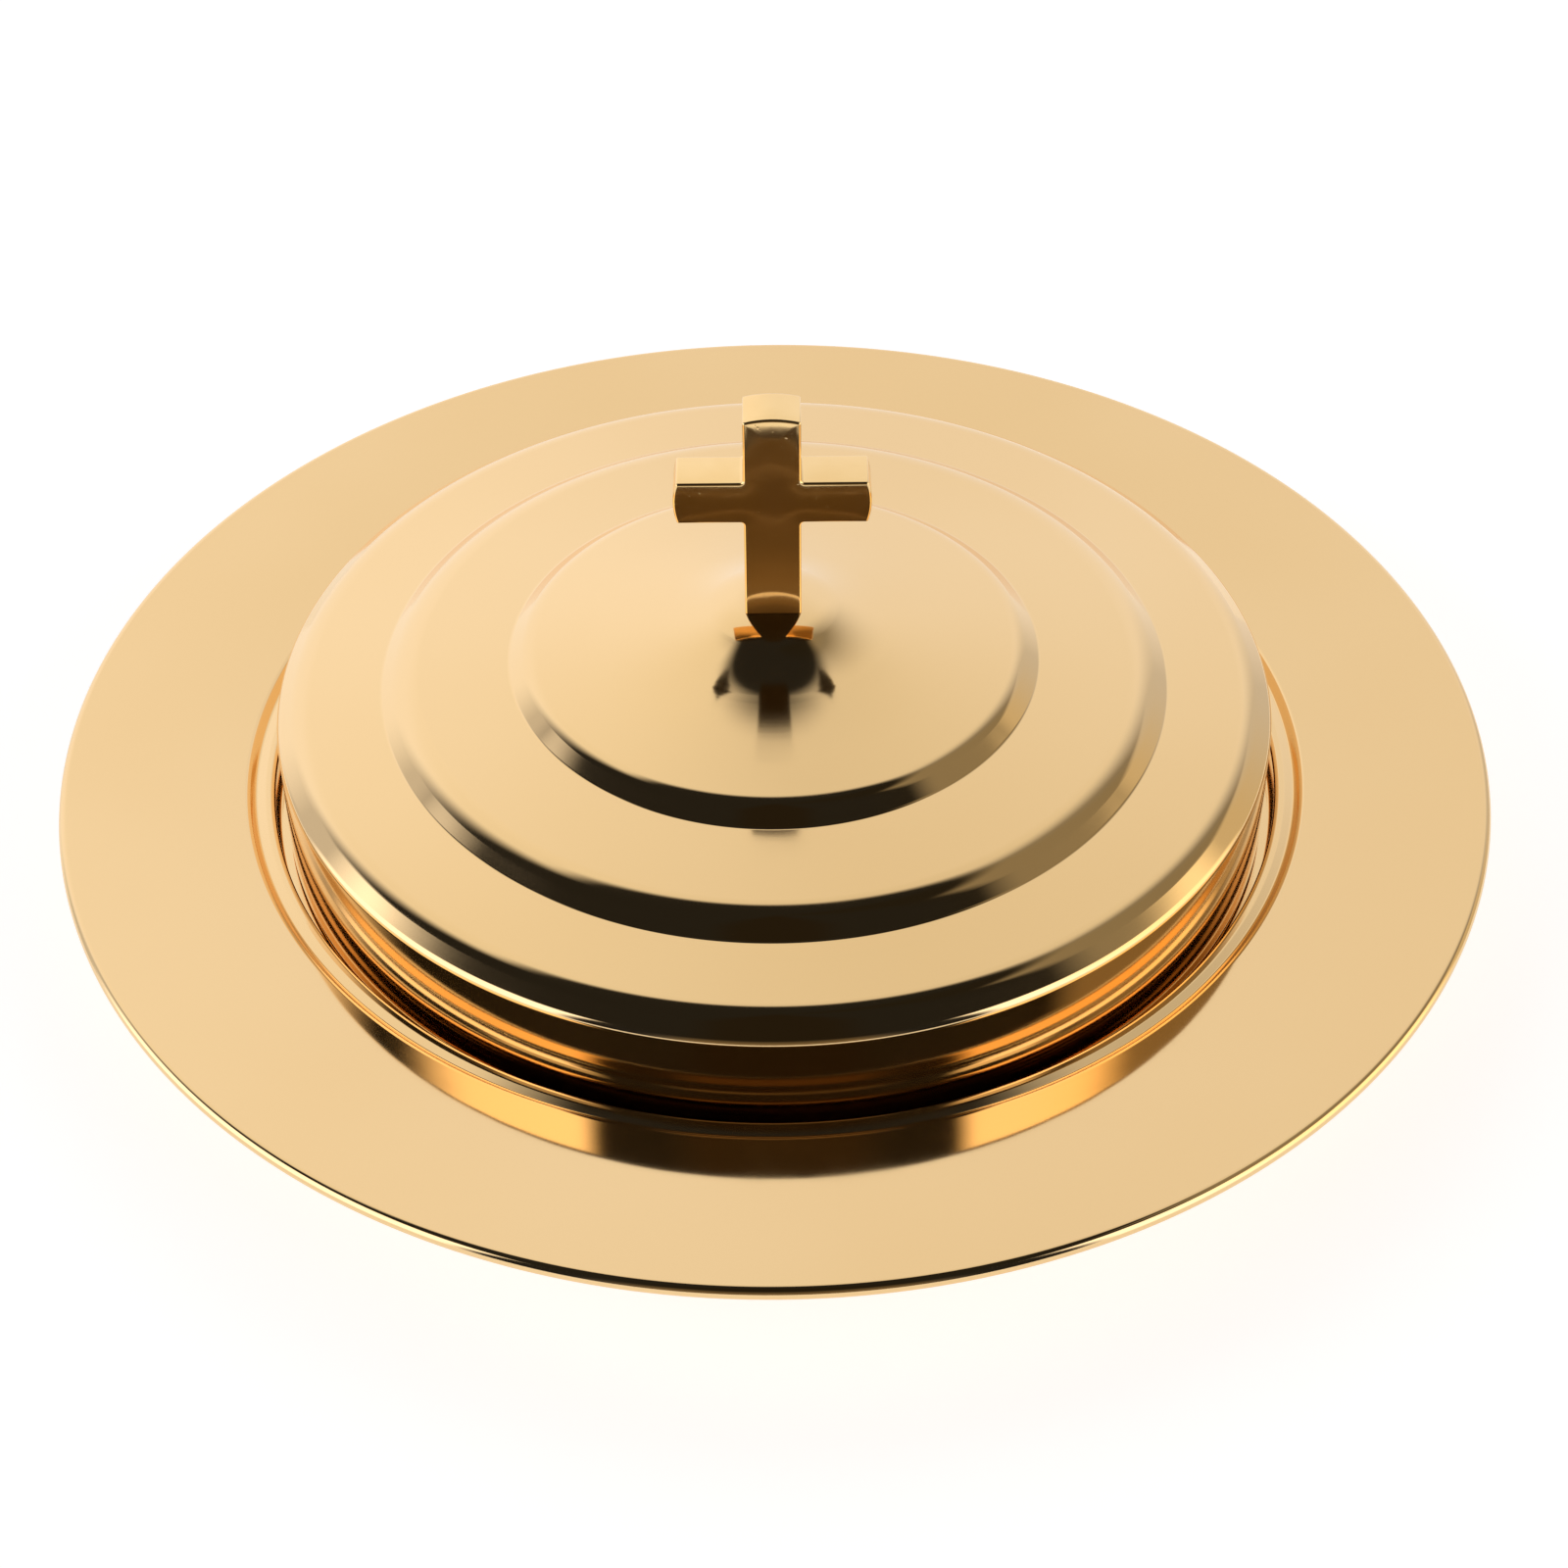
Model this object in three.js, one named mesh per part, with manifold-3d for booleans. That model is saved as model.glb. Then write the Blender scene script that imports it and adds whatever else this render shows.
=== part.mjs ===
// Communion bread plate with its lift-off lid: a spun plate with a wide rolled rim, a pressed
// lid that stands in the plate's well, and a cast cross that stands on the lid's domed middle,
// screwed on from the inside.
// Millimetres, +Z up, origin on the table under the middle of the plate.
import * as THREE from 'three';
import { mergeVertices } from 'three/addons/utils/BufferGeometryUtils.js';
import Module from 'manifold-3d';

// Sheet metal and fits
const PLATE_SHEET = 0.8;
const LID_SHEET = 0.8;
const SEAT_GAP = 0.3; // between pieces that rest on or are clamped to each other
const TURNS = 48; // flats round every spun piece
const CHORD_ERROR = 0.06; // how far a flat may cut inside the bend that it follows
const CUT_OVERRUN = 2; // how far a cut starts outside the solid

// Plate
const PLATE_DIAMETER = 318;
const RIM_HEIGHT = 28; // table to the middle of the rolled edge
const EDGE_ROLL_RADIUS = 1.6;
const EDGE_ROLL_END = -150; // degrees, where the roll's cut edge lies
const WELL_RADIUS = 112; // inside of the wall that the lid stands in
const BEAD_OFFSET = 2.1; // well wall out to the crest of the raised ring round it
const GROOVE_OFFSET = 2.2; // crest out to the groove
const BEAD_RISE = 0.5; // groove up to the crest
const MOUTH_STEP_WIDTH = 1.5; // groove out to where the wide rim starts
const MOUTH_STEP_HEIGHT = 1.8;
const MOUTH_DROP = 1.2; // start of the rim below the middle of the rolled edge
const SEAT_DEPTH = 8.5; // start of the rim down to the ledge that the lid stands on
const SEAT_WIDTH = 8;
const WELL_SLOPE = 7; // how far the well narrows from the ledge to the floor
const FLOOR_BEND = 6;
const WALL_BEND = 1.6;
const WELL_EDGE_BEND = 1.2;

// Lid
const LID_SIDE_CLEARANCE = 2.4; // well wall to the lid's side
const LID_SIDE_HEIGHT = 26; // foot of the lid to the edge under its shoulder
const LID_ROLL_RADIUS = 1.3;
const SHOULDER_RISE = 3.8;
const SHOULDER_WIDTH = 5.2;
const SHOULDER_BEND = 8;
const SHOULDER_EDGE_BEND = 2;
const LID_ROLL_END = -240; // degrees, where the foot roll's cut edge lies
const OUTER_BAND_WIDTH = 23.3; // lid's side in to the foot of the outer step
const MIDDLE_BAND_WIDTH = 28.2; // foot of the outer step in to the foot of the inner step
const OUTER_STEP_RISE = 3.7;
const OUTER_STEP_WIDTH = 5.2;
const OUTER_CREST_BEND = 11;
const INNER_STEP_RISE = 3.3;
const INNER_STEP_WIDTH = 4.4;
const INNER_CREST_BEND = 7;
const STEP_FOOT_BEND = 1.2;
const OUTER_PANEL_RISE = 1.3; // how much each flat band climbs towards the middle
const MIDDLE_PANEL_RISE = 1.4;

// Dome in the lid's middle: three corners of its outline, each widely bent, from its edge inwards.
// They are given for a dome of this radius, and grow with the lid.
const DOME_EDGE_RADIUS = 53.7;
const DOME_RADIUS = 35;
const DOME_RISE = 2.9; // inner step up to this corner
const DOME_BEND = 190;
const FLARE_RADIUS = 20.2;
const FLARE_RISE = 3.5; // the corner before up to this one
const FLARE_BEND = 60;
const HUMP_RADIUS = 9.4;
const HUMP_RISE = 4.8;
const HUMP_BEND = 24;

// Cross
const CROSS_HEIGHT = 50; // over the top of the dome
const ARM_SPAN = 41.8;
const ARM_HEIGHT = 10.2;
const ARM_FROM_TOP = 21.1; // top of the cross to the middle of the arms
const POST_WIDTH = 12.1;
const CROSS_THICKNESS = 10.4;
const END_BULGE = 0.8;
const EDGE_BEVEL = 0.6;
const HOLE_DEPTH = 13;
const BEVEL_STEPS = 2;
const CURVE_STEPS = 5;

// Screw and washer
const SCREW_RADIUS = 1.5;
const SCREW_CLEARANCE = 0.3; // round the screw's shank, in every piece that it passes
const SCREW_REACH = 10; // shank inside the cross
const HEAD_RADIUS = 2.8;
const HEAD_HEIGHT = 1.8;
const SLOT_WIDTH = 0.7;
const SLOT_DEPTH = 0.9;
const WASHER_RADIUS = 3.6;
const WASHER_THICKNESS = 0.6;
const ROUND_SIDES = 24;

// Radii and heights that follow from the sizes above
const beadRadius = WELL_RADIUS + BEAD_OFFSET;
const grooveRadius = beadRadius + GROOVE_OFFSET;
const mouthRadius = grooveRadius + MOUTH_STEP_WIDTH;
const mouthHeight = RIM_HEIGHT - MOUTH_DROP;
const grooveHeight = mouthHeight - MOUTH_STEP_HEIGHT;
const beadHeight = grooveHeight + BEAD_RISE;
const seatRadius = WELL_RADIUS - SEAT_WIDTH;
const seatHeight = mouthHeight - SEAT_DEPTH;
const lidRadius = WELL_RADIUS - LID_SIDE_CLEARANCE;
const outerStepRadius = lidRadius - OUTER_BAND_WIDTH;
const innerStepRadius = outerStepRadius - MIDDLE_BAND_WIDTH;
const lidFoot = seatHeight + SEAT_GAP;
const shoulderFoot = lidFoot + LID_SIDE_HEIGHT;
const outerPanel = shoulderFoot + SHOULDER_RISE;
const middlePanel = outerPanel + OUTER_PANEL_RISE + OUTER_STEP_RISE;
const innerPanel = middlePanel + MIDDLE_PANEL_RISE + INNER_STEP_RISE;
const domeScale = (innerStepRadius - INNER_STEP_WIDTH) / DOME_EDGE_RADIUS;
const domeHeight = innerPanel + DOME_RISE * domeScale;
const flareHeight = domeHeight + FLARE_RISE * domeScale;
const humpTop = flareHeight + HUMP_RISE * domeScale;
const crossFoot = humpTop + SEAT_GAP;
const crossTop = crossFoot + CROSS_HEIGHT;
const washerTop = humpTop - LID_SHEET - SEAT_GAP;
const headTop = washerTop - WASHER_THICKNESS - SEAT_GAP;
const screwHole = SCREW_RADIUS + SCREW_CLEARANCE;

const wasm = await Module();
wasm.setup();

function goldPlated(name) {
  return new THREE.MeshStandardMaterial({ name, color: 0xeccb93, roughness: 0.1, metalness: 1 });
}

function bareSteel(name) {
  return new THREE.MeshStandardMaterial({ name, color: 0xb9b9b5, roughness: 0.3, metalness: 1 });
}

// A corner of a sheet's outline: its distance from the axis, its height and its bend radius.
function corner(radius, height, bend = 0) {
  return { at: new THREE.Vector2(radius, height), bend };
}

// How many flats an arc takes, for its radius and angle.
function flatCount(radius, angle) {
  return Math.ceil(Math.abs(angle) / (2 * Math.acos(1 - CHORD_ERROR / radius)));
}

// The points of one bend: an arc that touches both straight runs.
function bendPoints(before, { at, bend }, after) {
  const inward = at.clone().sub(before).normalize();
  const outward = after.clone().sub(at).normalize();
  const turn = Math.atan2(inward.cross(outward), inward.dot(outward));
  const reach = bend * Math.tan(Math.abs(turn) / 2);
  const start = at.clone().addScaledVector(inward, -reach);
  const side = new THREE.Vector2(-inward.y, inward.x).multiplyScalar(Math.sign(turn) * bend);
  const centre = start.clone().add(side);
  const steps = bend ? flatCount(bend, turn) : 0;
  const points = [];
  for (let i = 0; i <= steps; i++) {
    const share = steps ? i / steps : 0;
    points.push(start.clone().rotateAround(centre, turn * share));
  }
  return points;
}

// The points along an outline given by its corners.
function bentOutline(corners) {
  const points = [corners[0].at];
  for (let i = 1; i < corners.length - 1; i++) {
    points.push(...bendPoints(corners[i - 1].at, corners[i], corners[i + 1].at));
  }
  points.push(corners[corners.length - 1].at);
  return points;
}

// A rolled edge: an arc about a centre, between two angles in degrees.
function rollPoints(radius, height, rollRadius, from, to) {
  const steps = flatCount(rollRadius, THREE.MathUtils.degToRad(to - from));
  const points = [];
  for (let i = 0; i <= steps; i++) {
    const angle = THREE.MathUtils.degToRad(THREE.MathUtils.lerp(from, to, i / steps));
    const out = radius + rollRadius * Math.cos(angle);
    points.push(new THREE.Vector2(out, height + rollRadius * Math.sin(angle)));
  }
  return points;
}

// Degrees round a rolled edge to where a straight rim meets it without a kink. The rim starts
// the given distances in from the roll's centre and below it.
function tangentAngle(inward, below, rollRadius) {
  const climb = Math.atan2(below, inward) + Math.asin(rollRadius / Math.hypot(inward, below));
  return 90 + THREE.MathUtils.radToDeg(climb);
}

// The closed section of a sheet whose upper face is given: the lower face runs back beside it.
function sheetSection(face, thickness) {
  const normals = [];
  for (let i = 1; i < face.length; i++) {
    const along = face[i].clone().sub(face[i - 1]).normalize();
    normals.push(new THREE.Vector2(along.y, -along.x));
  }
  const back = face.map((point, i) => {
    const before = normals[Math.max(i - 1, 0)];
    const after = normals[Math.min(i, normals.length - 1)];
    const reach = thickness / (1 + before.dot(after));
    return point.clone().addScaledVector(before, reach).addScaledVector(after, reach);
  });
  return [...face, ...back.reverse()];
}

// A piece spun round the upright axis.
function spun(name, section, sides, material) {
  const outline = section.slice().reverse();
  if (outline[0].x > 0) {
    outline.push(outline[0].clone());
  }
  const geometry = new THREE.LatheGeometry(outline, sides);
  geometry.rotateX(Math.PI / 2);
  const mesh = new THREE.Mesh(geometry, material);
  mesh.name = name;
  return mesh;
}

function toSolid(geometry) {
  const plain = geometry.clone();
  plain.deleteAttribute('normal');
  plain.deleteAttribute('uv');
  const merged = mergeVertices(plain, 1e-4);
  const vertProperties = new Float32Array(merged.attributes.position.array);
  const triVerts = new Uint32Array(merged.index.array);
  return new wasm.Manifold(new wasm.Mesh({ numProp: 3, vertProperties, triVerts }));
}

function toMesh(name, solid, material) {
  const { vertProperties, triVerts } = solid.getMesh();
  const geometry = new THREE.BufferGeometry();
  geometry.setAttribute('position', new THREE.BufferAttribute(vertProperties, 3));
  geometry.setIndex(new THREE.BufferAttribute(triVerts, 1));
  geometry.computeVertexNormals();
  const mesh = new THREE.Mesh(geometry, material);
  mesh.name = name;
  return mesh;
}

// A round bar on the upright axis, standing on the given height.
function bar(radius, foot, height) {
  const geometry = new THREE.CylinderGeometry(radius, radius, height, ROUND_SIDES);
  return geometry.rotateX(Math.PI / 2).translate(0, 0, foot + height / 2);
}

// The plate: flat floor, well wall, lid seat, raised ring, groove, wide rim and rolled edge.
function buildPlate() {
  const rollCentre = PLATE_DIAMETER / 2 - EDGE_ROLL_RADIUS;
  const rollStart = tangentAngle(rollCentre - mouthRadius, MOUTH_DROP, EDGE_ROLL_RADIUS);
  const roll = rollPoints(rollCentre, RIM_HEIGHT, EDGE_ROLL_RADIUS, rollStart, EDGE_ROLL_END);
  const face = bentOutline([
    corner(0, PLATE_SHEET),
    corner(seatRadius - WELL_SLOPE, PLATE_SHEET, FLOOR_BEND),
    corner(seatRadius, seatHeight, WALL_BEND),
    corner(WELL_RADIUS, seatHeight, PLATE_SHEET),
    corner(WELL_RADIUS, beadHeight, WELL_EDGE_BEND),
    corner(beadRadius, beadHeight, WALL_BEND),
    corner(grooveRadius, grooveHeight, PLATE_SHEET),
    corner(mouthRadius, mouthHeight, WALL_BEND),
    { at: roll[0], bend: 0 },
  ]);
  face.pop();
  return spun('plate', sheetSection([...face, ...roll], PLATE_SHEET), TURNS, goldPlated('plate'));
}

// The upper face of the lid's sheet: dome, two steps, shoulder and straight side.
function lidFace() {
  return bentOutline([
    corner(screwHole, humpTop),
    corner(HUMP_RADIUS * domeScale, humpTop, HUMP_BEND * domeScale),
    corner(FLARE_RADIUS * domeScale, flareHeight, FLARE_BEND * domeScale),
    corner(DOME_RADIUS * domeScale, domeHeight, DOME_BEND * domeScale),
    corner(innerStepRadius - INNER_STEP_WIDTH, innerPanel, INNER_CREST_BEND),
    corner(innerStepRadius, innerPanel - INNER_STEP_RISE, STEP_FOOT_BEND),
    corner(outerStepRadius - OUTER_STEP_WIDTH, middlePanel, OUTER_CREST_BEND),
    corner(outerStepRadius, middlePanel - OUTER_STEP_RISE, STEP_FOOT_BEND),
    corner(lidRadius - SHOULDER_WIDTH, outerPanel, SHOULDER_BEND),
    corner(lidRadius, shoulderFoot, SHOULDER_EDGE_BEND),
    corner(lidRadius, lidFoot + LID_ROLL_RADIUS),
  ]);
}

// The lid's sheet, with a foot rolled inwards under the side.
function buildLidShell() {
  const rollCentre = lidRadius - LID_ROLL_RADIUS;
  const roll = rollPoints(rollCentre, lidFoot + LID_ROLL_RADIUS, LID_ROLL_RADIUS, 0, LID_ROLL_END);
  const face = [...lidFace(), ...roll.slice(1)];
  return spun('lid_shell', sheetSection(face, LID_SHEET), TURNS, goldPlated('lid_shell'));
}

// The cross seen from the front, with bulging ends. Its foot reaches into the dome.
function crossShape() {
  const post = POST_WIDTH / 2;
  const arm = ARM_SPAN / 2;
  const armTop = crossTop - ARM_FROM_TOP + ARM_HEIGHT / 2;
  const armFoot = armTop - ARM_HEIGHT;
  const shape = new THREE.Shape();
  shape.moveTo(post, flareHeight);
  shape.lineTo(post, armFoot);
  shape.lineTo(arm - END_BULGE, armFoot);
  shape.quadraticCurveTo(arm + END_BULGE, (armFoot + armTop) / 2, arm - END_BULGE, armTop);
  shape.lineTo(post, armTop);
  shape.lineTo(post, crossTop - END_BULGE);
  shape.quadraticCurveTo(0, crossTop + END_BULGE, -post, crossTop - END_BULGE);
  shape.lineTo(-post, armTop);
  shape.lineTo(END_BULGE - arm, armTop);
  shape.quadraticCurveTo(-arm - END_BULGE, (armFoot + armTop) / 2, END_BULGE - arm, armFoot);
  shape.lineTo(-post, armFoot);
  shape.lineTo(-post, flareHeight);
  return shape;
}

// What the cross's foot is hollowed by: the middle of the lid, raised by the seat's gap.
function domeCut() {
  const face = lidFace().filter((point) => point.x < FLARE_RADIUS * domeScale);
  const low = flareHeight - CUT_OVERRUN;
  const outline = face.map((point) => new THREE.Vector2(point.x, point.y + SEAT_GAP));
  outline.unshift(new THREE.Vector2(0, crossFoot));
  outline.push(new THREE.Vector2(outline[outline.length - 1].x, low), new THREE.Vector2(0, low));
  const geometry = new THREE.LatheGeometry(outline.reverse(), TURNS);
  return toSolid(geometry.rotateX(Math.PI / 2));
}

function buildCross() {
  const front = new THREE.ExtrudeGeometry(crossShape(), {
    depth: CROSS_THICKNESS - 2 * EDGE_BEVEL,
    bevelThickness: EDGE_BEVEL,
    bevelSize: EDGE_BEVEL,
    bevelOffset: -EDGE_BEVEL,
    bevelSegments: BEVEL_STEPS,
    curveSegments: CURVE_STEPS,
  });
  front.translate(0, 0, EDGE_BEVEL - CROSS_THICKNESS / 2).rotateX(Math.PI / 2);
  const hole = toSolid(bar(screwHole, crossFoot - CUT_OVERRUN, HOLE_DEPTH + CUT_OVERRUN));
  const solid = toSolid(front).subtract(domeCut()).subtract(hole);
  return toMesh('cross', solid, goldPlated('cross'));
}

function buildWasher() {
  const section = [
    new THREE.Vector2(screwHole, washerTop),
    new THREE.Vector2(WASHER_RADIUS, washerTop),
    new THREE.Vector2(WASHER_RADIUS, washerTop - WASHER_THICKNESS),
    new THREE.Vector2(screwHole, washerTop - WASHER_THICKNESS),
  ];
  return spun('washer', section, ROUND_SIDES, bareSteel('washer'));
}

function buildScrew() {
  const tip = crossFoot + SCREW_REACH;
  const shank = toSolid(bar(SCREW_RADIUS, headTop - HEAD_HEIGHT / 2, tip - headTop + HEAD_HEIGHT / 2));
  const head = toSolid(bar(HEAD_RADIUS, headTop - HEAD_HEIGHT, HEAD_HEIGHT));
  const cut = new THREE.BoxGeometry(2 * HEAD_RADIUS + CUT_OVERRUN, SLOT_WIDTH, SLOT_DEPTH + CUT_OVERRUN);
  cut.translate(0, 0, headTop - HEAD_HEIGHT + (SLOT_DEPTH - CUT_OVERRUN) / 2);
  const solid = shank.add(head).subtract(toSolid(cut));
  return toMesh('fixing_screw', solid, bareSteel('fixing_screw'));
}

const lid = new THREE.Group();
lid.name = 'lid';
lid.add(buildLidShell(), buildCross(), buildWasher(), buildScrew());

const breadPlate = new THREE.Group();
breadPlate.name = 'communion_bread_plate';
breadPlate.add(buildPlate(), lid);

export default breadPlate;
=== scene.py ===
"""Communion bread plate: a gold-coloured plate, its lift-off lid and the cross that lifts it."""
import math

import bmesh
import bpy
from mathutils import Matrix, Vector


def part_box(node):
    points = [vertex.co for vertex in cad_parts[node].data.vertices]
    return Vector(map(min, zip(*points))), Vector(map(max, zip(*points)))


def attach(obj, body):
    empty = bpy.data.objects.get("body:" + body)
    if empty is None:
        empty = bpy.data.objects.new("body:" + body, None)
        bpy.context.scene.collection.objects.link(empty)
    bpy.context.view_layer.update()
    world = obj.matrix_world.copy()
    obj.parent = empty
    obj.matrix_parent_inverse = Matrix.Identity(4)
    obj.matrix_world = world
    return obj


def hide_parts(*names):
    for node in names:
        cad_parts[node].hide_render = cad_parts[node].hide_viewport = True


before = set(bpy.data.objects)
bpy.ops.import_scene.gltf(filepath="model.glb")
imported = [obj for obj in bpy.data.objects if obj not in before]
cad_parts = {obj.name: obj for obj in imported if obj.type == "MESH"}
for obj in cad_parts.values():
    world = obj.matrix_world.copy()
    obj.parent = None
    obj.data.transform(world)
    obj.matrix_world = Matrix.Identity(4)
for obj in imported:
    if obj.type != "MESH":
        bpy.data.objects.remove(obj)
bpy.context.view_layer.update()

MM = 0.001

# Fineness of the turned meshes
TURNS = 360
BEND_STEP = 5  # degrees of a bend between two points
BEND_RUN = 1.5  # mm between two points of a wide bend
LONGEST_RUN = 3.0  # mm between two points of a straight stretch
HOLD = 0.06  # mm from a bend to the point that keeps the next stretch flat
EDGE_CREASE = 50  # degrees between two faces that don't shade as one
MERGE_DISTANCE = 1e-7  # m between two points that become one

# Plate, mm
PLATE_SHEET = 0.8
RIM_HEIGHT = 28
EDGE_ROLL_RADIUS = 1.6
EDGE_ROLL_END = -150  # degrees round the roll
WELL_RADIUS = 112
BEAD_OFFSET = 2.1
GROOVE_OFFSET = 2.2
BEAD_RISE = 0.5
MOUTH_STEP_WIDTH = 1.5
MOUTH_STEP_HEIGHT = 1.8
MOUTH_DROP = 1.2
SEAT_DEPTH = 8.5
SEAT_WIDTH = 8
WELL_SLOPE = 7
FLOOR_BEND = 6
WALL_BEND = 1.6
WELL_EDGE_BEND = 1.2

# Lid, mm
LID_SHEET = 0.8
LID_SIDE_HEIGHT = 26
LID_ROLL_RADIUS = 1.3
LID_ROLL_END = -240  # degrees round the roll
SHOULDER_RISE = 3.8
SHOULDER_WIDTH = 5.2
SHOULDER_BEND = 8
SHOULDER_EDGE_BEND = 2
OUTER_BAND_WIDTH = 23.3
MIDDLE_BAND_WIDTH = 28.2
OUTER_STEP_RISE = 3.7
OUTER_STEP_WIDTH = 5.2
OUTER_CREST_BEND = 11
INNER_STEP_RISE = 3.3
INNER_STEP_WIDTH = 4.4
INNER_CREST_BEND = 7
STEP_FOOT_BEND = 1.2
OUTER_PANEL_RISE = 1.3
MIDDLE_PANEL_RISE = 1.4
SCREW_HOLE_RADIUS = 1.8

# Dome in the lid's middle, mm: its corners from the edge inwards
DOME_RADIUS = 35
DOME_RISE = 2.9
DOME_BEND = 190
FLARE_RADIUS = 20.2
FLARE_RISE = 3.5
FLARE_BEND = 60
HUMP_RADIUS = 9.4
HUMP_RISE = 4.8
HUMP_BEND = 24

# Cross, mm
ARM_HEIGHT = 10.2
ARM_FROM_TOP = 21.1
POST_WIDTH = 12.1
END_BULGE = 0.8
END_PLAY = 0.01  # how far the bulging ends stay inside the cross's box
BULGE_POINTS = 12
BULGING_SIDES = 1, 4, 7  # the outline's sides after these corners: the arms' ends and the top
EDGE_ROUND = 0.6
EDGE_STEPS = 6
CROWN = 0.14  # how far the middle of the front and back stands out
CROWN_WIDTH = 4.9
CROWN_STEPS = 6
OUTER_CORNER = 0.5
INNER_CORNER = 0.8
CORNER_STEPS = 5
FOOT_GAP = 0.08  # cross above the lid, where the foot follows the dome
FOOT_STEPS = 3
HOLE_DEPTH = 13


def box_mm(node):
    """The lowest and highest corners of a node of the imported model, in mm."""
    low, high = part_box(node)
    return low / MM, high / MM


# Sheet profiles


def corner(radius, height, bend=0.0):
    """A corner of a sheet's outline, with the radius of its bend."""
    return Vector((radius, height)), bend


def bend_points(before, at, bend, after):
    """The points of one bend: an arc that touches both straight runs."""
    if not bend:
        return [at]
    inward = (at - before).normalized()
    outward = (after - at).normalized()
    turn = math.atan2(inward.x * outward.y - inward.y * outward.x, inward.dot(outward))
    reach = bend * math.tan(abs(turn) / 2)
    start = at - inward * reach
    centre = start + Vector((-inward.y, inward.x)) * math.copysign(bend, turn)
    steps = max(1, math.ceil(math.degrees(abs(turn)) / BEND_STEP), math.ceil(bend * abs(turn) / BEND_RUN))
    return [centre + Matrix.Rotation(turn * i / steps, 2) @ (start - centre) for i in range(steps + 1)]


def straight_run(start, end):
    """The points between two bends, with one close to each bend so that the run shades flat."""
    length = (end - start).length
    if length < 3 * HOLD:
        return []
    along = (end - start) / length
    places = [HOLD]
    count = math.ceil(length / LONGEST_RUN)
    places += [length * i / count for i in range(1, count)]
    places.append(length - HOLD)
    return [start + along * place for place in places]


def bent_outline(corners):
    """The points along an outline that is given by its corners."""
    points = [corners[0][0]]
    for i in range(1, len(corners)):
        at, bend = corners[i]
        if i < len(corners) - 1:
            turn = bend_points(corners[i - 1][0], at, bend, corners[i + 1][0])
        else:
            turn = [at]
        points += straight_run(points[-1], turn[0])
        points += turn
    return points


def tangent_angle(inward, below, roll_radius):
    """Degrees round a rolled edge to where a straight rim meets it without a kink."""
    return 90 + math.degrees(math.atan2(below, inward) + math.asin(roll_radius / math.hypot(inward, below)))


def roll_points(radius, height, roll_radius, start, end):
    """A rolled edge: an arc about a centre, between two angles in degrees."""
    centre = Vector((radius, height))
    steps = math.ceil(abs(end - start) / BEND_STEP)
    points = []
    for i in range(steps + 1):
        angle = math.radians(start + (end - start) * i / steps)
        points.append(centre + roll_radius * Vector((math.cos(angle), math.sin(angle))))
    return points


def sheet_section(face, thickness):
    """The closed section of a sheet whose upper face is given."""
    normals = []
    for start, end in zip(face, face[1:]):
        along = (end - start).normalized()
        normals.append(Vector((along.y, -along.x)))
    back = []
    for i, point in enumerate(face):
        before = normals[max(i - 1, 0)]
        after = normals[min(i, len(normals) - 1)]
        back.append(point + (before + after) * thickness / (1 + before.dot(after)))
    return face + back[::-1]


# Meshes


def mesh_object(name, points, faces, material):
    """A smooth-shaded object from points in mm, with its hard edges kept."""
    mesh = bpy.data.meshes.new(name)
    mesh.from_pydata([Vector(point) * MM for point in points], [], faces)
    work = bmesh.new()
    work.from_mesh(mesh)
    bmesh.ops.remove_doubles(work, verts=work.verts, dist=MERGE_DISTANCE)
    bmesh.ops.recalc_face_normals(work, faces=work.faces)
    work.to_mesh(mesh)
    work.free()
    mesh.shade_smooth()
    mesh.set_sharp_from_angle(angle=math.radians(EDGE_CREASE))
    mesh.materials.append(material)
    piece = bpy.data.objects.new(name, mesh)
    bpy.context.scene.collection.objects.link(piece)
    return piece


def spun(name, section, material):
    """A piece turned round the upright axis from its closed section."""
    points = []
    for i in range(TURNS):
        angle = math.tau * i / TURNS
        cos, sin = math.cos(angle), math.sin(angle)
        points += [(radius * cos, radius * sin, height) for radius, height in section]
    count = len(section)
    faces = []
    for i in range(TURNS):
        here = i * count
        there = (i + 1) % TURNS * count
        for j in range(count):
            k = (j + 1) % count
            if section[j].x > 0 or section[k].x > 0:
                faces.append((here + j, there + j, there + k, here + k))
    return mesh_object(name, points, faces, material)


def make_plate(material):
    low, high = box_mm("plate")
    floor = low.z
    rim_middle = floor + RIM_HEIGHT
    roll_centre = high.x - EDGE_ROLL_RADIUS
    mouth = rim_middle - MOUTH_DROP
    groove = mouth - MOUTH_STEP_HEIGHT
    seat = mouth - SEAT_DEPTH
    bead = groove + BEAD_RISE
    seat_radius = WELL_RADIUS - SEAT_WIDTH
    bead_radius = WELL_RADIUS + BEAD_OFFSET
    groove_radius = bead_radius + GROOVE_OFFSET
    mouth_radius = groove_radius + MOUTH_STEP_WIDTH
    roll_start = tangent_angle(roll_centre - mouth_radius, MOUTH_DROP, EDGE_ROLL_RADIUS)
    roll = roll_points(roll_centre, rim_middle, EDGE_ROLL_RADIUS, roll_start, EDGE_ROLL_END)
    face = bent_outline([
        corner(0, floor + PLATE_SHEET),
        corner(seat_radius - WELL_SLOPE, floor + PLATE_SHEET, FLOOR_BEND),
        corner(seat_radius, seat, WALL_BEND),
        corner(WELL_RADIUS, seat, PLATE_SHEET),
        corner(WELL_RADIUS, bead, WELL_EDGE_BEND),
        corner(bead_radius, bead, WALL_BEND),
        corner(groove_radius, groove, PLATE_SHEET),
        corner(mouth_radius, mouth, WALL_BEND),
        corner(*roll[0]),
    ])
    return spun("plate_shell", sheet_section(face[:-1] + roll, PLATE_SHEET), material)


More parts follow.
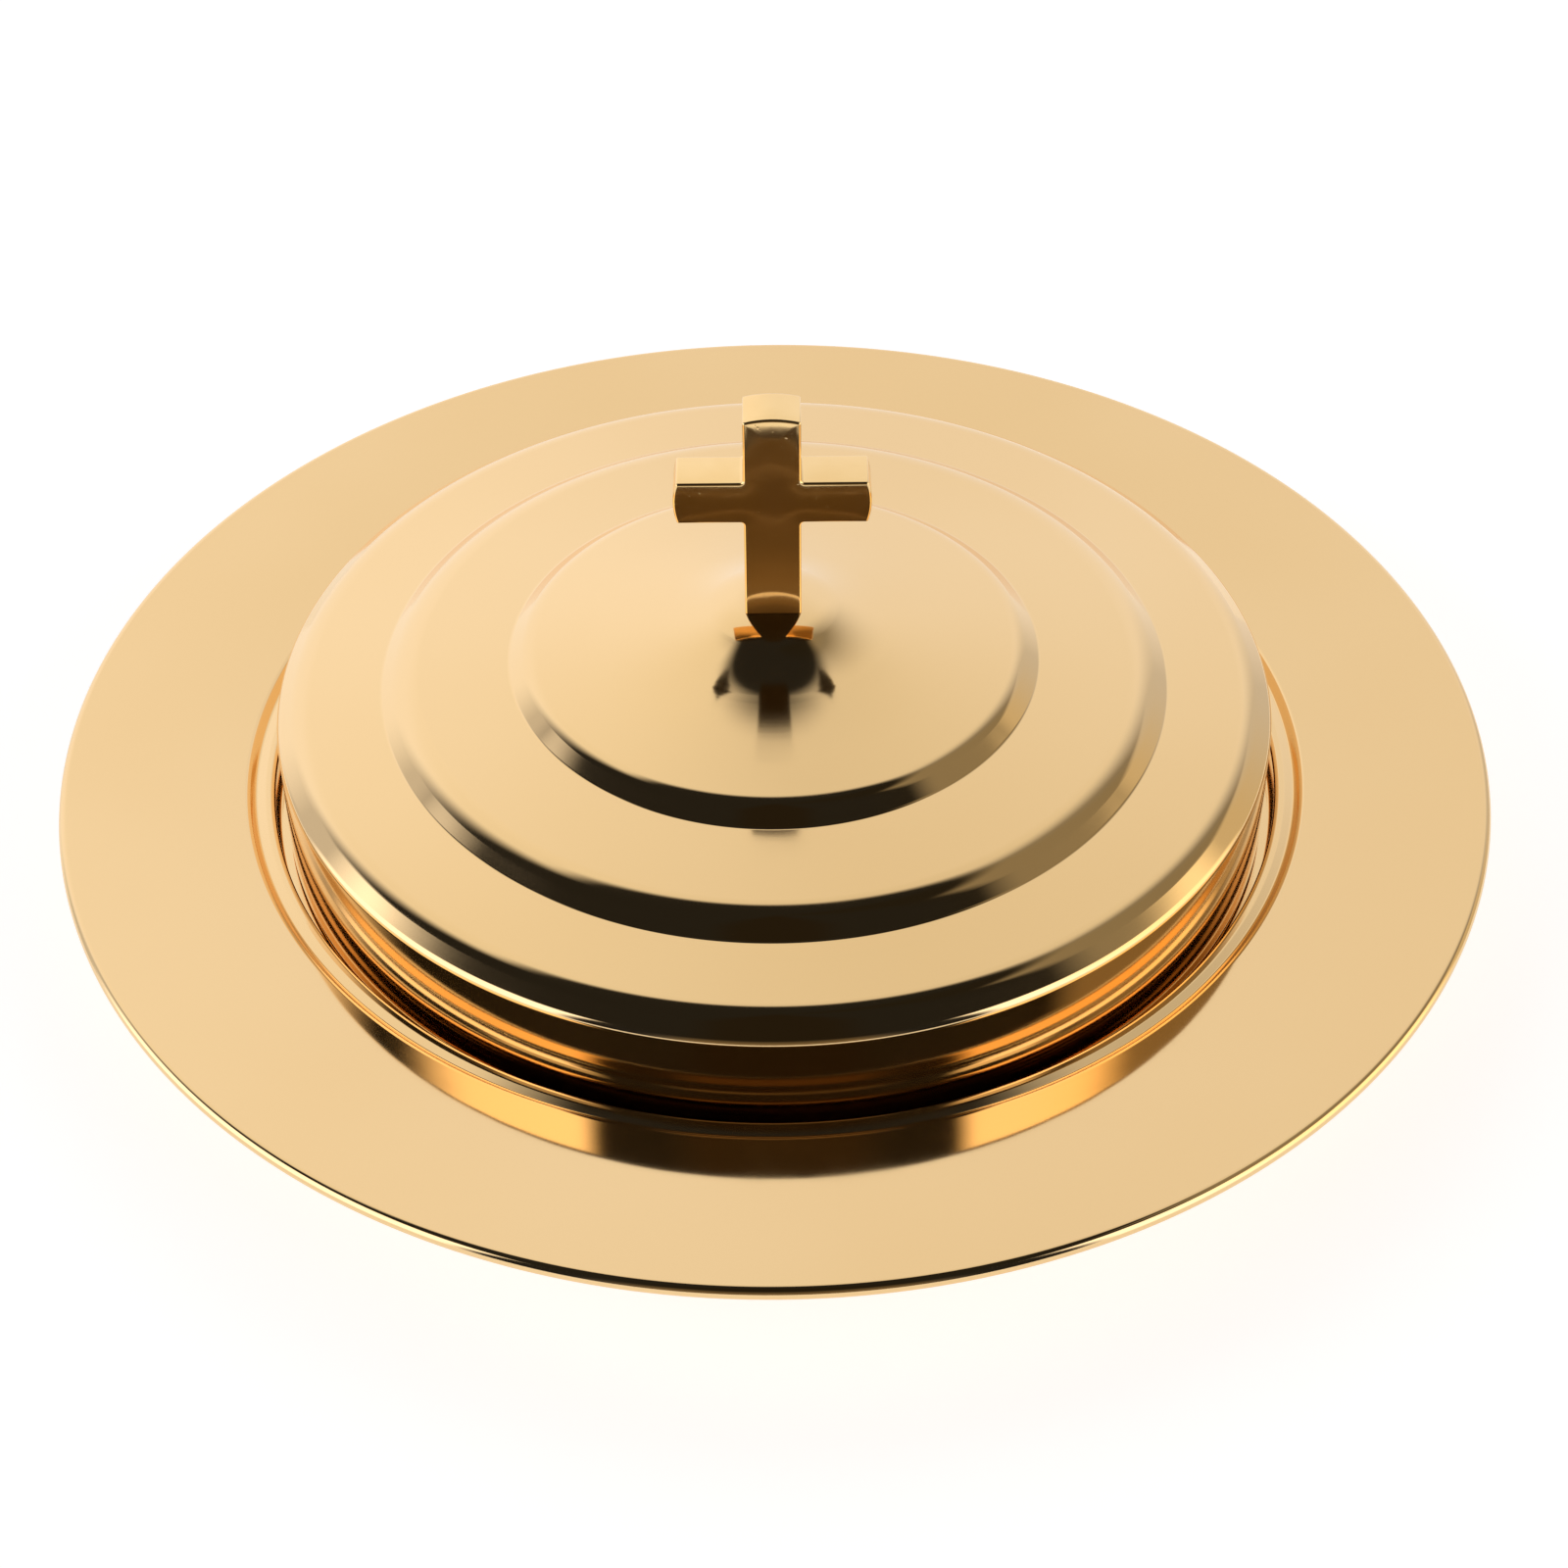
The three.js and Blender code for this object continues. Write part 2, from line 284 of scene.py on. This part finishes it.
def lid_face():
    """The upper face of the lid's sheet, from the screw hole out to the top of the rolled foot."""
    low, high = box_mm("lid_shell")
    radius = high.x
    outer_step = radius - OUTER_BAND_WIDTH
    inner_step = outer_step - MIDDLE_BAND_WIDTH
    shoulder_foot = low.z + LID_SIDE_HEIGHT
    outer_panel = shoulder_foot + SHOULDER_RISE
    middle_panel = outer_panel + OUTER_PANEL_RISE + OUTER_STEP_RISE
    inner_panel = middle_panel + MIDDLE_PANEL_RISE + INNER_STEP_RISE
    dome = inner_panel + DOME_RISE
    flare = dome + FLARE_RISE
    top = flare + HUMP_RISE
    return bent_outline([
        corner(SCREW_HOLE_RADIUS, top),
        corner(HUMP_RADIUS, top, HUMP_BEND),
        corner(FLARE_RADIUS, flare, FLARE_BEND),
        corner(DOME_RADIUS, dome, DOME_BEND),
        corner(inner_step - INNER_STEP_WIDTH, inner_panel, INNER_CREST_BEND),
        corner(inner_step, inner_panel - INNER_STEP_RISE, STEP_FOOT_BEND),
        corner(outer_step - OUTER_STEP_WIDTH, middle_panel, OUTER_CREST_BEND),
        corner(outer_step, middle_panel - OUTER_STEP_RISE, STEP_FOOT_BEND),
        corner(radius - SHOULDER_WIDTH, outer_panel, SHOULDER_BEND),
        corner(radius, shoulder_foot, SHOULDER_EDGE_BEND),
        corner(radius, low.z + LID_ROLL_RADIUS),
    ])


def make_lid(material):
    low, high = box_mm("lid_shell")
    roll_centre = high.x - LID_ROLL_RADIUS
    roll = roll_points(roll_centre, low.z + LID_ROLL_RADIUS, LID_ROLL_RADIUS, 0, LID_ROLL_END)
    return spun("lid_spun_shell", sheet_section(lid_face() + roll[1:], LID_SHEET), material)


# Cross


class OutlineCorner:
    """A rounded corner of the cross's front outline. An inner corner's rounding is below 0."""

    def __init__(self, before, at, after, rounding, bulge_before, bulge_after):
        self.at = at
        self.rounding = rounding
        first = inward_normal(before, at)
        second = inward_normal(at, after)
        self.miter = (first + second) / (1 + first.dot(second))
        if bulge_before:
            first = Matrix.Rotation(bulge_slope(before, at), 2) @ first
        if bulge_after:
            second = Matrix.Rotation(-bulge_slope(at, after), 2) @ second
        self.first = first
        self.turn = first.angle_signed(second)
        reach = (first + second) / (1 + first.dot(second))
        self.centre = at + reach * rounding

    def inset(self, depth):
        """The points of the rounded corner, depth mm inside the outline."""
        radius = self.rounding
        if radius < 0:
            centre, arm = self.centre, depth - radius
        else:
            centre, arm = self.centre + self.miter * max(depth - radius, 0), min(depth - radius, 0)
        points = []
        for i in range(CORNER_STEPS + 1):
            towards = Matrix.Rotation(-self.turn * i / CORNER_STEPS, 2) @ self.first
            points.append(centre + towards * arm)
        return points


def inward_normal(start, end):
    along = (end - start).normalized()
    return Vector((-along.y, along.x))


def bulge_slope(start, end):
    """The angle between a bulging end and its chord, where it starts."""
    return math.atan(4 * END_BULGE / (end - start).length)


def bulge_points(start, end, full_length):
    """The points of an end that bulges out between two corners, without the corners."""
    length = (end - start).length
    out = -inward_normal(start, end) * END_BULGE * (length / full_length) ** 2
    shares = [i / BULGE_POINTS for i in range(1, BULGE_POINTS)]
    return [start.lerp(end, t) + out * 4 * t * (1 - t) for t in shares]


class CrossOutline:
    """The cross's front outline in (x, z), from the foot's right side round to its left."""

    def __init__(self, half_post, half_span, arm_foot, arm_top, top, foot):
        reach = half_span - END_BULGE
        crest = top - END_BULGE
        right = [
            Vector((half_post, foot)),
            Vector((half_post, arm_foot)),
            Vector((reach, arm_foot)),
            Vector((reach, arm_top)),
            Vector((half_post, arm_top)),
            Vector((half_post, crest)),
        ]
        places = right + [Vector((-point.x, point.y)) for point in reversed(right)]
        rounds = [-INNER_CORNER, OUTER_CORNER, OUTER_CORNER, -INNER_CORNER, OUTER_CORNER]
        rounds += rounds[::-1]
        self.foot = places[0], places[-1]
        self.corners = []
        for i, rounding in enumerate(rounds):
            bulges = i - 1 in BULGING_SIDES, i in BULGING_SIDES
            self.corners.append(OutlineCorner(*places[i:i + 3], rounding, *bulges))

    def inset(self, depth):
        """The points of the outline, depth mm inside it."""
        inwards = Vector((depth, 0))
        points = [self.foot[0] - inwards]
        for i, here in enumerate(self.corners):
            points += here.inset(depth)
            if i in BULGING_SIDES:
                there = self.corners[i + 1]
                full_length = (there.at - here.at).length
                points += bulge_points(points[-1], there.inset(depth)[0], full_length)
        return points + [self.foot[1] + inwards]


def foot_point(x, y, face):
    """A point of the foot, which follows the lid's dome."""
    radius = math.hypot(x, y)
    for start, end in zip(face, face[1:]):
        if radius <= end.x:
            share = max(radius - start.x, 0) / (end.x - start.x)
            return x, y, start.lerp(end, share).y + FOOT_GAP
    raise ValueError("the foot is wider than the lid")


def cross_layers(thickness):
    """How deep each layer of the front lies inside the outline, and how far it stands out."""
    layers = []
    wall = thickness / 2 - CROWN - EDGE_ROUND
    for i in range(EDGE_STEPS + 1):
        angle = math.pi / 2 * i / EDGE_STEPS
        layers.append((EDGE_ROUND * (1 - math.cos(angle)), wall + EDGE_ROUND * math.sin(angle)))
    for i in range(1, CROWN_STEPS + 1):
        share = i / CROWN_STEPS
        depth = EDGE_ROUND + (CROWN_WIDTH - EDGE_ROUND) * share
        layers.append((depth, thickness / 2 - CROWN * (1 - share) ** 2))
    return layers


def add_row(points, places):
    """Adds a row of points and returns their numbers."""
    first = len(points)
    points += places
    return list(range(first, len(points)))


def join_rows(faces, first, second, closed=False):
    """Adds the faces between two rows of equally many points."""
    count = len(first)
    for i in range(count if closed else count - 1):
        j = (i + 1) % count
        faces.append((first[i], first[j], second[j], second[i]))


def add_half(points, faces, outline, layers, side, face):
    """One half of the cross, side 1 to the back and -1 to the front. Returns its rows of points."""
    rows = []
    for depth, out in layers:
        row = [(point.x, side * out, point.y) for point in outline.inset(depth)]
        row[0] = foot_point(row[0][0], side * out, face)
        row[-1] = foot_point(row[-1][0], side * out, face)
        rows.append(add_row(points, row))
    for outer, inner in zip(rows, rows[1:]):
        join_rows(faces, outer, inner)
    faces.append(tuple(rows[-1]))
    return rows


def close_foot(points, faces, ring, face):
    """Closes the foot inside its ring of points: along the dome, then up the screw's blind hole."""
    rim = [Vector(points[i][:2]) for i in ring]
    hole = [place.normalized() * SCREW_HOLE_RADIUS for place in rim]
    rings = []
    for i in range(1, FOOT_STEPS + 1):
        places = [outer.lerp(inner, i / FOOT_STEPS) for outer, inner in zip(rim, hole)]
        rings.append([foot_point(place.x, place.y, face) for place in places])
    rings.append([(place.x, place.y, face[0].y + HOLE_DEPTH) for place in hole])
    for places in rings:
        fresh = add_row(points, places)
        join_rows(faces, ring, fresh, closed=True)
        ring = fresh
    faces.append(tuple(ring))


def make_cross(material):
    low, high = box_mm("cross")
    face = lid_face()
    arm_top = high.z - ARM_FROM_TOP + ARM_HEIGHT / 2
    reach, top = high.x - END_PLAY, high.z - END_PLAY
    outline = CrossOutline(POST_WIDTH / 2, reach, arm_top - ARM_HEIGHT, arm_top, top, face[0].y)
    layers = cross_layers(high.y - low.y)
    points = []
    faces = []
    front = add_half(points, faces, outline, layers, -1, face)
    back = add_half(points, faces, outline, layers, 1, face)
    join_rows(faces, front[0], back[0])
    ring = [row[0] for row in front[::-1] + back] + [row[-1] for row in back[::-1] + front]
    close_foot(points, faces, ring, face)
    return mesh_object("cast_cross", points, faces, material)


# Finishes


GOLD = (0.87, 0.61, 0.315, 1)
DEEP_GOLD = (0.85, 0.585, 0.29, 1)
CAST_GOLD = (0.93, 0.65, 0.31, 1)
DEEP_CAST_GOLD = (0.89, 0.6, 0.265, 1)
ZINC = (0.62, 0.62, 0.6, 1)
DARK_ZINC = (0.5, 0.51, 0.52, 1)
TINTED = 0.3, 0.7  # noise over which a gold turns into its deeper shade

# Polished sheet: scales are per metre, depths in metres
RING_SCALE = 2500
RING_SPREAD = 1.5  # how much the rings change on the way round
RING_DEPTH = 0.0000006
WAVE_SCALE = 90
WAVE_DEPTH = 0.000012
SMUDGE_SCALE = 28
SMUDGED = 0.5, 0.75  # noise over which a clean place turns smudged
TINT_SCALE = 9
POLISH_ROUGHNESS = 0.06
SMUDGE_ROUGHNESS = 0.035
RING_ROUGHNESS = 0.02

# Polished casting
CAST_WAVE_SCALE = 160
CAST_WAVE_DEPTH = 0.00003
PIT_SCALE = 900
PIT_DEPTH = 0.00001
PITTED = 0.68, 0.76
CAST_TINT_SCALE = 60
CAST_ROUGHNESS = 0.08
CAST_TINT_ROUGHNESS = 0.05

# Zinc-plated steel
GRAIN_SCALE = 1500
GRAIN_DEPTH = 0.000008
CLOUD_SCALE = 220
ZINC_ROUGHNESS = 0.24
GRAIN_ROUGHNESS = 0.14


class Value:
    """One value in a node tree, with arithmetic."""

    def __init__(self, finish, socket):
        self.finish = finish
        self.socket = socket

    def maths(self, operation, *others):
        return self.finish.maths(operation, self, *others)

    def __add__(self, other):
        return self.maths("ADD", other)

    __radd__ = __add__

    def __sub__(self, other):
        return self.maths("SUBTRACT", other)

    def __rsub__(self, other):
        return self.finish.maths("SUBTRACT", other, self)

    def __mul__(self, other):
        return self.maths("MULTIPLY", other)

    __rmul__ = __mul__

    def __truediv__(self, other):
        return self.maths("DIVIDE", other)

    def between(self, low, high):
        """0 below low, 1 above high and smooth in between."""
        settings = {"interpolation_type": "SMOOTHSTEP"}
        inputs = {"Value": self, "From Min": low, "From Max": high}
        return self.finish.node("ShaderNodeMapRange", settings, inputs)

    def size(self):
        return self.maths("ABSOLUTE")

    def most(self, other):
        """The larger of this value and the other."""
        return self.maths("MAXIMUM", other)


class Finish:
    """The node tree of a material or of the world."""

    def __init__(self, owner):
        owner.use_nodes = True
        self.tree = owner.node_tree
        self.tree.nodes.clear()

    def node(self, kind, settings, inputs, output=0):
        """A new node of any kind: its settings, then the numbers or links of its sockets."""
        made = self.tree.nodes.new(kind)
        for name, value in settings.items():
            setattr(made, name, value)
        for name, value in inputs.items():
            if isinstance(value, Value):
                self.tree.links.new(value.socket, made.inputs[name])
            else:
                made.inputs[name].default_value = value
        return Value(self, made.outputs[output]) if len(made.outputs) else None

    def maths(self, operation, *values):
        return self.node("ShaderNodeMath", {"operation": operation}, dict(enumerate(values)))

    def noise(self, place, scale, detail):
        inputs = {"Vector": place, "Scale": scale, "Detail": detail}
        return self.node("ShaderNodeTexNoise", {}, inputs, "Fac")

    def mixed(self, share, first, second):
        """A mix of two colours, which the Mix node takes at its sockets 6 and 7 and gives at 2."""
        settings = {"data_type": "RGBA"}
        return self.node("ShaderNodeMix", settings, {0: share, 6: first, 7: second}, 2)

    def parts(self, vector):
        return [self.node("ShaderNodeSeparateXYZ", {}, {0: vector}, axis) for axis in range(3)]

    def joined(self, x, y, z):
        return self.node("ShaderNodeCombineXYZ", {}, {0: x, 1: y, 2: z})

    def length(self, vector):
        return self.node("ShaderNodeVectorMath", {"operation": "LENGTH"}, {0: vector}, "Value")

    def bump(self, height, distance, normal=None):
        inputs = {"Strength": 1.0, "Distance": distance, "Height": height}
        if normal:
            inputs["Normal"] = normal
        return self.node("ShaderNodeBump", {}, inputs)


def turned_gold(name, colour, deep_colour):
    """Mirror-polished, gold-coated sheet: faint rings left by polishing, soft waves, smudges."""
    material = bpy.data.materials.new(name)
    finish = Finish(material)
    place = finish.node("ShaderNodeTexCoord", {}, {}, "Object")
    x, y, z = finish.parts(place)
    radius = finish.length(finish.joined(x, y, 0.0))
    out = radius.most(0.001)  # m, so that nothing is divided by 0 on the axis
    ringed = finish.joined((radius + z) * RING_SCALE, x / out * RING_SPREAD, y / out * RING_SPREAD)
    rings = finish.noise(ringed, 1.0, detail=3.0)
    waves = finish.noise(place, WAVE_SCALE, detail=1.0)
    smudge = finish.noise(place, SMUDGE_SCALE, detail=5.0)
    tint = finish.noise(place, TINT_SCALE, detail=2.0)
    rough = POLISH_ROUGHNESS + smudge.between(*SMUDGED) * SMUDGE_ROUGHNESS + rings * RING_ROUGHNESS
    waved = finish.bump(waves, WAVE_DEPTH)
    shader = finish.node("ShaderNodeBsdfPrincipled", {}, {
        "Base Color": finish.mixed(tint.between(*TINTED), colour, deep_colour),
        "Metallic": 1.0,
        "Roughness": rough,
        "Normal": finish.bump(rings, RING_DEPTH, waved),
    })
    finish.node("ShaderNodeOutputMaterial", {}, {"Surface": shader})
    return material


def cast_gold(name, colour, deep_colour):
    """A polished casting under the same coating: softer waves and a few fine pits."""
    material = bpy.data.materials.new(name)
    finish = Finish(material)
    place = finish.node("ShaderNodeTexCoord", {}, {}, "Object")
    waves = finish.noise(place, CAST_WAVE_SCALE, detail=2.0)
    pits = finish.noise(place, PIT_SCALE, detail=2.0).between(*PITTED)
    tint = finish.noise(place, CAST_TINT_SCALE, detail=3.0)
    waved = finish.bump(waves, CAST_WAVE_DEPTH)
    shader = finish.node("ShaderNodeBsdfPrincipled", {}, {
        "Base Color": finish.mixed(tint.between(*TINTED), colour, deep_colour),
        "Metallic": 1.0,
        "Roughness": CAST_ROUGHNESS + tint * CAST_TINT_ROUGHNESS,
        "Normal": finish.bump(1 - pits, PIT_DEPTH, waved),
    })
    finish.node("ShaderNodeOutputMaterial", {}, {"Surface": shader})
    return material


def zinc_steel(name):
    """Zinc-plated steel: a fine grain and cloudy patches of darker zinc."""
    material = bpy.data.materials.new(name)
    finish = Finish(material)
    place = finish.node("ShaderNodeTexCoord", {}, {}, "Object")
    grain = finish.noise(place, GRAIN_SCALE, detail=3.0)
    cloud = finish.noise(place, CLOUD_SCALE, detail=3.0)
    shader = finish.node("ShaderNodeBsdfPrincipled", {}, {
        "Base Color": finish.mixed(cloud, ZINC, DARK_ZINC),
        "Metallic": 1.0,
        "Roughness": ZINC_ROUGHNESS + grain * GRAIN_ROUGHNESS,
        "Normal": finish.bump(grain, GRAIN_DEPTH),
    })
    finish.node("ShaderNodeOutputMaterial", {}, {"Surface": shader})
    return material


# Studio


FLOOR_RADIUS = 0.6
FLOOR_SIDES = 96
FLOOR_DROP = 0.0004  # floor below the plate's base, m
FLOOR_WHITE = 0.5
FLOOR_GLOW = 0.76
WHITE = (1, 1, 1, 1)

# Directions of the studio's light, in radians round from the front and up from the horizon.
# A pair says where a change begins and where it is complete.
BACKDROP_LEVEL = 1.14
BACKDROP_LEFT = 1.75, 2.3
BACKDROP_RIGHT = 1.88, 2.72
FADE_RIGHT = 0.12  # how much darker the backdrop gets on its right side
FADE_RIGHT_SPAN = -0.25, 0.08  # in the direction's x, which is 1 straight to the right
FADE_UP = 0.16
FADE_UP_SPAN = 0.5, 1.08
WALL_TOP = 1.06, 1.2
RIGHT_WALL_LEVEL = 0.3
RIGHT_WALL = 1.2, 1.45
LOW_WALL_LEVEL = 0.7
LOW_WALL = 0.95, 1.3
LOW_WALL_TOP = 0.45, 0.62
BOX_LEVEL = 1.8
BOX_FRONT = 0.68, 0.8
BOX_BACK = 1.7, 2.1
RIGHT_BOX_TOP = 0.76, 0.88
RIGHT_BOX_SLOPE = 0.32
RIGHT_BOX_SLOPE_START = 1.05
LEFT_BOX_TOP = 0.74, 0.86
LEFT_BOX_SLOPE = 0.3
LEFT_BOX_SLOPE_START = 1.15
ROOM_HALF_WIDTH = 0.25, 0.5
ROOM_LEVEL = 0.19
ROOM_FADES = (0.1, (0.1, 0.45)), (0.09, (0.45, 0.8))  # how much darker, and over which height
DARK_LEVEL = 0.02

BACKDROP_LOW = (0.98, 1.0, 1.07, 1)
BACKDROP_HIGH = (1.0, 0.985, 0.93, 1)
BACKDROP_TINTED = 0.5, 1.0
SIDE_TINT = (1.0, 0.89, 0.66, 1)
SIDE_TINT_START = 0.9, 1.5
SIDE_TINT_END = 2.0, 2.4
ROOM_TINT = (1.0, 0.8, 0.52, 1)


def seen_directly(finish):
    """1 for what the camera sees directly or in metal or glass."""
    camera = finish.node("ShaderNodeLightPath", {}, {}, "Is Camera Ray")
    glossy = finish.node("ShaderNodeLightPath", {}, {}, "Is Glossy Ray")
    through = finish.node("ShaderNodeLightPath", {}, {}, "Is Transmission Ray")
    return camera.most(glossy).most(through)


def lay_floor():
    """A round floor, which looks pale to the camera and in the metal and keeps the shadow."""
    edge = Vector((FLOOR_RADIUS, 0, -FLOOR_DROP))
    corners = [Matrix.Rotation(math.tau * i / FLOOR_SIDES, 3, "Z") @ edge for i in range(FLOOR_SIDES)]
    mesh = bpy.data.meshes.new("floor")
    mesh.from_pydata(corners, [], [tuple(range(FLOOR_SIDES))])
    floor = bpy.data.objects.new("floor", mesh)
    bpy.context.scene.collection.objects.link(floor)
    material = bpy.data.materials.new("pale_floor")
    finish = Finish(material)
    matt = finish.node("ShaderNodeBsdfDiffuse", {}, {"Color": (FLOOR_WHITE, FLOOR_WHITE, FLOOR_WHITE, 1)})
    glow = finish.node("ShaderNodeEmission", {}, {"Strength": seen_directly(finish) * FLOOR_GLOW})
    both = finish.node("ShaderNodeAddShader", {}, {0: matt, 1: glow})
    finish.node("ShaderNodeOutputMaterial", {}, {"Surface": both})
    mesh.materials.append(material)


def soft_box(side, height, top, slope, slope_start):
    """A lit panel beside the object, whose top gets lower past slope_start, towards the back."""
    raised = height + slope * (side - slope_start).most(0.0)
    return side.between(*BOX_FRONT) * (1 - side.between(*BOX_BACK)) * (1 - raised.between(*top))


def light_studio():
    """A pale backdrop, low pale walls, a soft box on each side in front, and dark overhead."""
    world = bpy.data.worlds.new("studio")
    bpy.context.scene.world = world
    finish = Finish(world)
    towards = finish.node("ShaderNodeTexCoord", {}, {}, "Generated")
    x, y, z = finish.parts(towards)
    turn = x.maths("ARCTAN2", -1 * y)  # round from the front, to the right
    left = -1 * turn
    height = z.maths("ARCSINE")

    fades = FADE_RIGHT * x.between(*FADE_RIGHT_SPAN) + FADE_UP * height.between(*FADE_UP_SPAN)
    backdrop = (BACKDROP_LEVEL - fades) * left.between(*BACKDROP_LEFT).most(turn.between(*BACKDROP_RIGHT))
    right_wall = RIGHT_WALL_LEVEL * turn.between(*RIGHT_WALL)
    low_walls = LOW_WALL_LEVEL * turn.size().between(*LOW_WALL) * (1 - height.between(*LOW_WALL_TOP))
    walls = backdrop.most(right_wall).most(low_walls) * (1 - height.between(*WALL_TOP))
    right_box = soft_box(turn, height, RIGHT_BOX_TOP, RIGHT_BOX_SLOPE, RIGHT_BOX_SLOPE_START)
    left_box = soft_box(left, height, LEFT_BOX_TOP, LEFT_BOX_SLOPE, LEFT_BOX_SLOPE_START)
    boxes = BOX_LEVEL * right_box.most(left_box)
    in_front = 1 - turn.size().between(*ROOM_HALF_WIDTH)
    room = ROOM_LEVEL
    for fade, span in ROOM_FADES:
        room = room - fade * height.between(*span)
    light = walls.most(boxes).most(in_front * room + DARK_LEVEL)

    backdrop_tint = finish.mixed(height.between(*BACKDROP_TINTED), BACKDROP_LOW, BACKDROP_HIGH)
    beside = turn.between(*SIDE_TINT_START) * (1 - turn.between(*SIDE_TINT_END))
    tint = finish.mixed(in_front, finish.mixed(beside, backdrop_tint, SIDE_TINT), ROOM_TINT)
    direct = finish.node("ShaderNodeLightPath", {}, {}, "Is Camera Ray")
    glow = finish.node("ShaderNodeBackground", {}, {
        "Color": finish.mixed(direct, tint, WHITE),
        "Strength": light * (1 - direct) + direct,
    })
    finish.node("ShaderNodeOutputWorld", {}, {"Surface": glow})


# Camera, fitted to the photograph's rim, steps and cross

CAMERA_BACK = 0.5343  # m in front of the plate's axis
CAMERA_HEIGHT = 0.4621  # m above the middle of the rim's rolled edge
CAMERA_TURN = 0.22  # degrees
CAMERA_TILT = 41.61
CAMERA_ROLL = -0.40
CAMERA_LENS = 72  # mm
CAMERA_SENSOR = 36
CAMERA_NEAREST = 0.01  # m


def place_camera():
    turn, tilt, roll = (math.radians(angle) for angle in (CAMERA_TURN, CAMERA_TILT, CAMERA_ROLL))
    ahead = Vector((math.sin(turn) * math.cos(tilt), math.cos(turn) * math.cos(tilt), -math.sin(tilt)))
    level = Vector((math.cos(turn), -math.sin(turn), 0))
    up = level.cross(ahead)
    side = level * math.cos(roll) + up * math.sin(roll)
    top = up * math.cos(roll) - level * math.sin(roll)
    camera = bpy.data.objects.new("camera", bpy.data.cameras.new("camera"))
    camera.data.lens = CAMERA_LENS
    camera.data.sensor_width = CAMERA_SENSOR
    camera.data.clip_start = CAMERA_NEAREST
    place = Matrix((side, top, -ahead)).transposed().to_4x4()
    place.translation = Vector((0, -CAMERA_BACK, CAMERA_HEIGHT + RIM_HEIGHT * MM))
    camera.matrix_world = place
    bpy.context.scene.collection.objects.link(camera)
    bpy.context.scene.camera = camera


# Assembly

place_camera()
light_studio()
lay_floor()
bpy.context.scene.view_settings.view_transform = "Standard"

plate = make_plate(turned_gold("gold_plated_plate", GOLD, DEEP_GOLD))
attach(plate, "plate")
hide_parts("plate")

lid = make_lid(turned_gold("gold_plated_lid", GOLD, DEEP_GOLD))
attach(lid, "lid")
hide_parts("lid_shell")

cross = make_cross(cast_gold("gold_plated_cross", CAST_GOLD, DEEP_CAST_GOLD))
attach(cross, "lid")
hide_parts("cross")

steel = zinc_steel("zinc_plated_steel")
for name in ("washer", "fixing_screw"):
    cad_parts[name].data.materials.clear()
    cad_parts[name].data.materials.append(steel)
